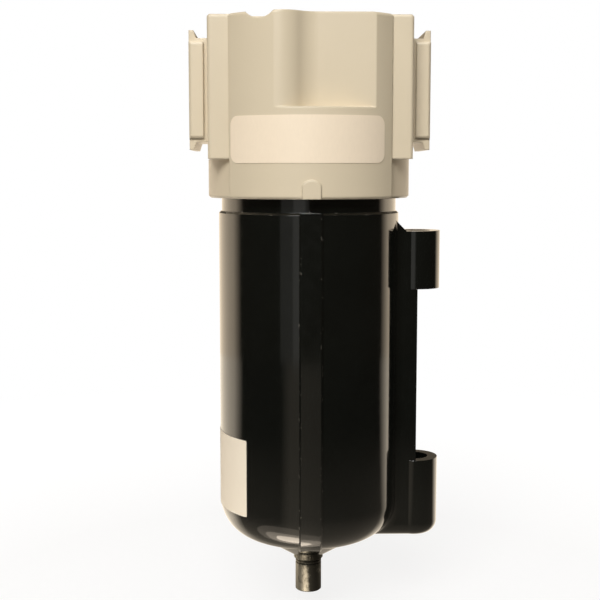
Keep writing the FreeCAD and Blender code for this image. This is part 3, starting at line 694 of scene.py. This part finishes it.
class DRAIN_OT_threads(bpy.types.Operator):
    """Cut the threads of the two ports and of the bowl's neck"""

    bl_idname = "drain.threads"
    bl_label = "Threads"

    def execute(self, context):
        self.cut_ports(context.scene.drain_sizes)
        self.cut_neck(context.scene.drain_sizes)
        return {"FINISHED"}

    def cut_ports(self, sizes):
        """The tubes stand just inside the ports' walls, from near the face to near the end."""
        inside_wall, from_face, from_end, columns = 0.04 * MM, 0.3 * MM, 0.2 * MM, 72
        low, high = node_box("head")
        mounts = {mount["name"]: mount for mount in frame["record"]["mounts"]}
        bare = metal_finish("port_bare_aluminium", bright=(0.62, 0.62, 0.61), dull=(0.50, 0.50, 0.49),
                            roughness=0.32, stretch=(40.0, 0.5, 0.5))
        for name, side in (("inlet_port", -1.0), ("outlet_port", 1.0)):
            mount = mounts[name]
            root = mount["dims"]["r_mm"] * MM - inside_wall
            length = mount["dims"]["length_mm"] * MM
            tube = thread_points(root, -sizes.port_depth, sizes.port_pitch, from_face,
                                 length - from_end, columns)
            # the columns are turned round, so the faces look at the port's axis
            tube = tube[:, ::-1]
            face = high[0] if side > 0 else low[0]
            lay_down = Euler((0.0, -side * math.pi / 2.0, 0.0)).to_matrix()
            tube = rotated(tube, lay_down, (face, 0.0, mount["pos_m"][2]))
            grid_piece(name + "_thread", "head", tube, bare, wrap_u=True)

    def cut_neck(self, sizes):
        """The thread stands just outside the neck, and stops short of the bowl's top."""
        rim, outside_neck, columns = 1.0 * MM, 0.02 * MM, 180
        thread_foot, thread_top = 9.0 * MM, 1.2 * MM
        points = node_points("bowl")
        bowl_top = points[:, 2].max()
        on_neck = points[points[:, 2] > bowl_top - rim]
        neck = np.hypot(on_neck[:, 0], on_neck[:, 1]).max() + outside_neck
        worm = thread_points(neck, sizes.bowl_depth, sizes.bowl_pitch, bowl_top - thread_foot,
                             bowl_top - thread_top, columns)
        grid_piece("bowl_neck_thread", "bowl", worm, NODES["bowl"].material_slots[0].material,
                   wrap_u=True)


class DRAIN_OT_seals(bpy.types.Operator):
    """Make the bowl's seal and finish the drain piston's seals"""

    bl_idname = "drain.seals"
    bl_label = "Seals"

    def execute(self, context):
        inset, columns, rows = 0.05 * MM, 160, 28
        rubber = rubber_finish()
        bead = context.scene.drain_sizes.seal_bead
        low, high = node_box("bowl_seal")
        middle = (low[2] + high[2]) / 2.0
        turn = round_angles(rows)
        profile = np.stack([high[0] - bead - inset + bead * np.cos(turn),
                            middle + bead * np.sin(turn)], axis=-1)
        ring = grid_piece("bowl_seal_ring", "seal_carrier", turned_points(profile, columns), rubber,
                          wrap_u=True, wrap_v=True)
        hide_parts("bowl_seal")
        for name in ("piston_seal", "valve_disc", "pilot_pad"):
            give(name, rubber)
        return {"FINISHED"}


class DRAIN_OT_spring(bpy.types.Operator):
    """Wind the drain piston's spring"""

    bl_idname = "drain.spring"
    bl_label = "Piston spring"

    def execute(self, context):
        wire, inset = 0.43 * MM, 0.45 * MM
        sizes = context.scene.drain_sizes
        low, high = node_box("piston_spring")
        radius = (high[0] - low[0]) / 2.0 - inset
        surface = coil_points(radius, wire, low[2], high[2], sizes.spring_turns)
        steel = metal_finish("spring_drawn_steel", bright=(0.55, 0.55, 0.54), dull=(0.40, 0.40, 0.39),
                             roughness=0.3)
        spring = grid_piece("drain_spring", "bowl", surface, steel, wrap_u=True)
        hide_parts("piston_spring")
        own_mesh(spring)
        return {"FINISHED"}


class DRAIN_OT_strainer(bpy.types.Operator):
    """Weave the strainer round the drain housing"""

    bl_idname = "drain.strainer"
    bl_label = "Strainer"

    def execute(self, context):
        inset, thickness = 0.2 * MM, 0.3 * MM
        rows, columns = 9, 120
        map_width, map_height = 6.0, 0.33
        low, high = node_box("drain_screen")
        profile = np.stack([np.full(rows, high[0] - inset), np.linspace(low[2], high[2], rows)],
                           axis=-1)
        surface = turned_points(profile, columns)
        # the first column comes again at the end, so the map has a seam
        surface = np.concatenate([surface, surface[:, :1]], axis=1)
        u, v = np.meshgrid(np.linspace(0.0, map_width, columns + 1),
                           np.linspace(0.0, map_height, rows))
        cloth = grid_piece("strainer_cloth", "bowl", surface, woven_finish(),
                           uv=np.stack([u, v], axis=-1))
        wall = cloth.modifiers.new("wall", "SOLIDIFY")
        wall.thickness = thickness
        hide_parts("drain_screen")
        return {"FINISHED"}


class DRAIN_OT_float(bpy.types.Operator):
    """Blow the hollow looking float with its rounded shoulders and weld line"""

    bl_idname = "drain.float_shell"
    bl_label = "Float"

    def execute(self, context):
        low, high = node_box("float")
        radius, bottom, top = high[0], low[2], high[2]
        bore, roof = 4.6 * MM, node_box("pilot_pad")[1][2]
        roof_corner, mouth, heel, heel_middle = 0.2 * MM, 0.3 * MM, 0.8 * MM, 0.2 * MM
        weld_share, weld_half, weld_depth = 0.6, 0.5 * MM, 0.25 * MM
        shoulder, shoulder_rows, columns = 4.0 * MM, 13, 96
        weld = bottom + (top - bottom) * weld_share
        quarter = np.linspace(0.0, math.pi / 2.0, shoulder_rows)
        pocket = [[0.0, roof], [bore - roof_corner, roof], [bore, roof - roof_corner],
                  [bore, bottom + mouth], [bore + mouth, bottom]]
        outside = [[radius - heel, bottom], [radius - heel_middle, bottom + heel_middle],
                   [radius, bottom + heel]]
        groove = [[radius, weld - weld_half], [radius - weld_depth, weld], [radius, weld + weld_half]]
        arc = np.stack([radius - shoulder + shoulder * np.cos(quarter),
                        top - shoulder + shoulder * np.sin(quarter)], axis=-1)
        profile = np.concatenate([pocket, outside, groove, arc, [[0.0, top]]])
        nylon = moulded_finish("float_amber_nylon", colour=(0.62, 0.33, 0.12), roughness=0.35)
        shell = grid_piece("float_shell", "float", turned_points(profile, columns), nylon,
                           wrap_u=True)
        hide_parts("float")
        return {"FINISHED"}


class DRAIN_OT_internals(bpy.types.Operator):
    """Finish the plastic and metal parts inside the bowl"""

    bl_idname = "drain.internals"
    bl_label = "Internals"

    def execute(self, context):
        acetal = moulded_finish("drain_white_acetal", colour=(0.78, 0.76, 0.71), roughness=0.4)
        for name in ("drain_housing", "drain_piston", "float_guide"):
            give(name, acetal)
        give("deflector", moulded_finish("deflector_acetal", colour=(0.70, 0.69, 0.65), roughness=0.42))
        zinc = metal_finish("stud_zinc_plate", bright=(0.64, 0.64, 0.66), dull=(0.52, 0.53, 0.55),
                            roughness=0.3, stretch=(0.5, 0.5, 30.0))
        for name in ("deflector_stud", "deflector_nut"):
            give(name, zinc)
        brass = metal_finish("nozzle_turned_brass", bright=(0.76, 0.58, 0.28), dull=(0.66, 0.49, 0.22),
                             roughness=0.28, stretch=(0.5, 0.5, 40.0))
        give("pilot_nozzle", brass)
        return {"FINISHED"}


# The studio
def floor_seen(tree, distance, grain):
    """The floor in the camera's eyes: matt grey with a glow on top, and plain white further out."""
    fading = (0.12, 0.40)
    glow = spread(tree, distance, fading, (0.83, 1.02))
    lifted = add_node(tree, "ShaderNodeAddShader",
                      {0: scattered(tree, grain), 1: emitted(tree, WHITE, glow)})
    return either(tree, mask(tree, distance, fading), lifted.outputs["Shader"],
                  emitted(tree, WHITE, 1.0))


def floor_thrown(tree, distance, way, grain):
    """The matt grey that throws light on the object, with a paler patch to the left of the stem."""
    to_the_left = spread(tree, part_of(tree, way, "X"), (-0.5, -0.1), (1.0, 0.0))
    near = spread(tree, distance, (0.08, 0.20), (0.8, 0.0))
    return scattered(tree, maths(tree, "ADD", grain, maths(tree, "MULTIPLY", to_the_left, near)))


def floor_mirrored(tree, distance, way):
    """The floor that gloss mirrors: bright behind the object and dim in front of it.

    The front gets dimmer further out, apart from a lighter strip towards the slim box.
    """
    slim_box_way = (-0.225, -0.974, 0.0)
    below = spread(tree, distance, (0.015, 0.10), (0.26, 0.12))
    dimmer = spread(tree, distance, (0.1, 0.3), (0.0, -0.10))
    strip = spread(tree, lean(tree, way, slim_box_way), (0.93, 0.985), (0.0, 0.16))
    behind = maths(tree, "MULTIPLY", spread(tree, toward_back(tree, way), (0.28, 0.56), (0.0, 1.15)),
                   spread(tree, distance, (0.03, 0.08), (0.1, 1.0)))
    front = maths(tree, "ADD", maths(tree, "ADD", below, dimmer), strip)
    return emitted(tree, FLOOR_COLOUR, maths(tree, "ADD", front, behind))


def pale_floor_finish():
    """White floor that keeps the object's shadow, and fades to plain white away from it.

    The camera, gloss and the light that the floor throws back each have their own brightness of
    the floor. It depends on how far a point lies from the object's axis, and which way.
    """
    material = bpy.data.materials.new("studio_floor")
    tree = bare_tree(material)
    place = object_place(tree)
    distance = add_node(tree, "ShaderNodeVectorMath", {0: place}, operation="LENGTH").outputs["Value"]
    way = add_node(tree, "ShaderNodeVectorMath", {0: place}, operation="NORMALIZE").outputs["Vector"]
    grain = uneven(tree, scale=400.0, result=(0.17, 0.19))
    rays = add_node(tree, "ShaderNodeLightPath").outputs
    unseen = either(tree, rays["Is Glossy Ray"], floor_thrown(tree, distance, way, grain),
                    floor_mirrored(tree, distance, way))
    surface = either(tree, rays["Is Camera Ray"], unseen, floor_seen(tree, distance, grain))
    add_node(tree, "ShaderNodeOutputMaterial", {"Surface": surface})
    return material


def pale_room(studio):
    """A room that is plain white to the camera.

    It throws more light on the object from behind than from the front, and gloss mirrors it
    bright only behind the object and low down.
    """
    world = bpy.data.worlds.new("pale_room")
    tree = bare_tree(world)
    toward = add_node(tree, "ShaderNodeTexCoord").outputs["Generated"]
    back = toward_back(tree, toward)
    low_down = spread(tree, part_of(tree, toward, "Z"), (0.03, 0.12), (1.0, 0.12))
    mirrored = maths(tree, "MULTIPLY", spread(tree, back, (0.36, 0.60), (studio.dim_room, 1.1)),
                     low_down)
    thrown = spread(tree, back, (0.3, 0.6), (studio.front_room, studio.back_room))
    rays = add_node(tree, "ShaderNodeLightPath").outputs
    level = add_node(tree, "ShaderNodeMix",
                     {"Factor": rays["Is Glossy Ray"], MIX_NUMBERS[0]: thrown,
                      MIX_NUMBERS[1]: mirrored}, data_type="FLOAT").outputs[MIXED_NUMBER]
    shown = add_node(tree, "ShaderNodeBackground",
                     {"Color": mixed(tree, rays["Is Camera Ray"], ROOM_COLOUR, WHITE),
                      "Strength": maths(tree, "MAXIMUM", level, rays["Is Camera Ray"])})
    add_node(tree, "ShaderNodeOutputWorld", {"Surface": shown.outputs["Background"]})
    return world


def add_floor(studio):
    """A round floor below the stem, with rings that lie closer together near the middle."""
    rings, columns, first_ring = 24, 96, 0.01
    radius = np.concatenate([[0.0], np.geomspace(first_ring, studio.floor_radius, rings)])
    profile = np.stack([radius[::-1], np.zeros(rings + 1)], axis=-1)
    mesh = grid_mesh("floor", turned_points(profile, columns), wrap_u=True)
    mesh.materials.append(pale_floor_finish())
    floor = placed("floor", mesh, (0.0, 0.0, -studio.floor_drop))


def add_lamp(name, azimuth, elevation, distance, width, height, level, colour=WHITE):
    """A soft box that lights a face turned to it at a share of plain light.

    Plain light is pi watts a square metre, and a box of power P gives P / (pi d d) on its axis.
    """
    aim = Vector((0.0, 0.0, 0.09))
    a, e = math.radians(azimuth), math.radians(elevation)
    back = Vector((math.sin(a) * math.cos(e), -math.cos(a) * math.cos(e), math.sin(e)))
    lamp = bpy.data.lights.new(name, "AREA")
    lamp.shape = "RECTANGLE"
    lamp.size, lamp.size_y = width, height
    lamp.energy = level * math.pi * math.pi * distance * distance
    lamp.color = colour
    placed(name, lamp, aim + back * distance, (-back).to_track_quat("-Z", "Y").to_euler())


def add_foot_lamp(name, x, y, z, width, depth, level):
    """An oval lamp lying below the bowl that shines up, in millimetres.

    A level of 1 is as bright as white: its power is pi times the level times the oval's area.
    """
    lamp = bpy.data.lights.new(name, "AREA")
    lamp.shape = "ELLIPSE"
    lamp.size, lamp.size_y = width * MM, depth * MM
    lamp.energy = math.pi * lamp.size * lamp.size_y * math.pi / 4.0 * level
    lamp.color = FOOT_COLOUR
    holder = placed(name, lamp, (x * MM, y * MM, z * MM), (math.pi, 0.0, 0.0))
    holder.visible_camera = False


def add_lamps(studio):
    """A key lamp, a lamp above, two tall boxes in front and three nested lamps at the foot."""
    slim_share, glow_share, halo_share = 0.55, 0.27, 0.11
    add_lamp("key", azimuth=-11.0, elevation=33.0, distance=1.0, width=0.55, height=0.45,
             level=studio.key_level, colour=KEY_COLOUR)
    add_lamp("top_box", azimuth=-6.0, elevation=80.0, distance=0.8, width=0.5, height=0.5,
             level=studio.top_level)
    add_lamp("wide_box", azimuth=-19.0, elevation=2.0, distance=0.75, width=0.48, height=0.8,
             level=studio.box_level, colour=BOX_COLOUR)
    add_lamp("slim_box", azimuth=-13.0, elevation=2.0, distance=0.74, width=0.20, height=0.8,
             level=studio.box_level * slim_share, colour=BOX_COLOUR)
    add_foot_lamp("foot_core", x=-12.0, y=-26.0, z=-7.0, width=26.0, depth=14.0,
                  level=studio.foot_level)
    add_foot_lamp("foot_glow", x=-15.0, y=-27.0, z=-7.5, width=44.0, depth=24.0,
                  level=studio.foot_level * glow_share)
    add_foot_lamp("foot_halo", x=-25.0, y=-36.0, z=-8.0, width=62.0, depth=48.0,
                  level=studio.foot_level * halo_share)


def add_camera(studio):
    """The camera in front of the object, looking down a little."""
    turn = studio.azimuth
    right = Vector((math.cos(turn), math.sin(turn), 0.0))
    away = Vector((math.sin(turn), -math.cos(turn), 0.0))
    camera = bpy.data.cameras.new("camera")
    camera.lens = studio.lens
    camera.sensor_width = 36.0
    camera.clip_start, camera.clip_end = 0.01, 20.0
    stand = away * studio.distance + right * studio.sideways + Vector((0.0, 0.0, studio.height))
    return placed("camera", camera, stand, Euler((math.pi / 2.0 - studio.pitch, 0.0, turn)))


class DRAIN_OT_stage(bpy.types.Operator):
    """Set out the floor, the lamps, the pale room behind and the camera"""

    bl_idname = "drain.stage"
    bl_label = "Stage"

    def execute(self, context):
        studio = context.scene.drain_studio
        add_floor(studio)
        add_lamps(studio)
        context.scene.world = pale_room(studio)
        context.scene.camera = add_camera(studio)
        context.scene.view_settings.view_transform = "Standard"
        return {"FINISHED"}


STEPS = (
    DRAIN_OT_castings,
    DRAIN_OT_films,
    DRAIN_OT_stem,
    DRAIN_OT_threads,
    DRAIN_OT_seals,
    DRAIN_OT_spring,
    DRAIN_OT_strainer,
    DRAIN_OT_float,
    DRAIN_OT_internals,
    DRAIN_OT_stage,
)


class DRAIN_PT_looks(bpy.types.Panel):
    """Lists the steps in the order in which they run"""

    bl_idname = "DRAIN_PT_looks"
    bl_label = "Drain looks"
    bl_space_type = "VIEW_3D"
    bl_region_type = "UI"
    bl_category = "Drain"

    def draw(self, context):
        for step in STEPS:
            self.layout.operator(step.bl_idname)


CLASSES = (DrainColours, DrainSizes, DrainStudio, *STEPS, DRAIN_PT_looks)


def register():
    for item in CLASSES:
        bpy.utils.register_class(item)
    bpy.types.Scene.drain_colours = PointerProperty(type=DrainColours)
    bpy.types.Scene.drain_sizes = PointerProperty(type=DrainSizes)
    bpy.types.Scene.drain_studio = PointerProperty(type=DrainStudio)


def unregister():
    del bpy.types.Scene.drain_studio
    del bpy.types.Scene.drain_sizes
    del bpy.types.Scene.drain_colours
    for item in reversed(CLASSES):
        bpy.utils.unregister_class(item)


def main():
    register()
    bpy.ops.drain.castings()
    bpy.ops.drain.films()
    bpy.ops.drain.stem()
    bpy.ops.drain.threads()
    bpy.ops.drain.seals()
    bpy.ops.drain.spring()
    bpy.ops.drain.strainer()
    bpy.ops.drain.float_shell()
    bpy.ops.drain.internals()
    bpy.ops.drain.stage()


if __name__ == "__main__":
    main()
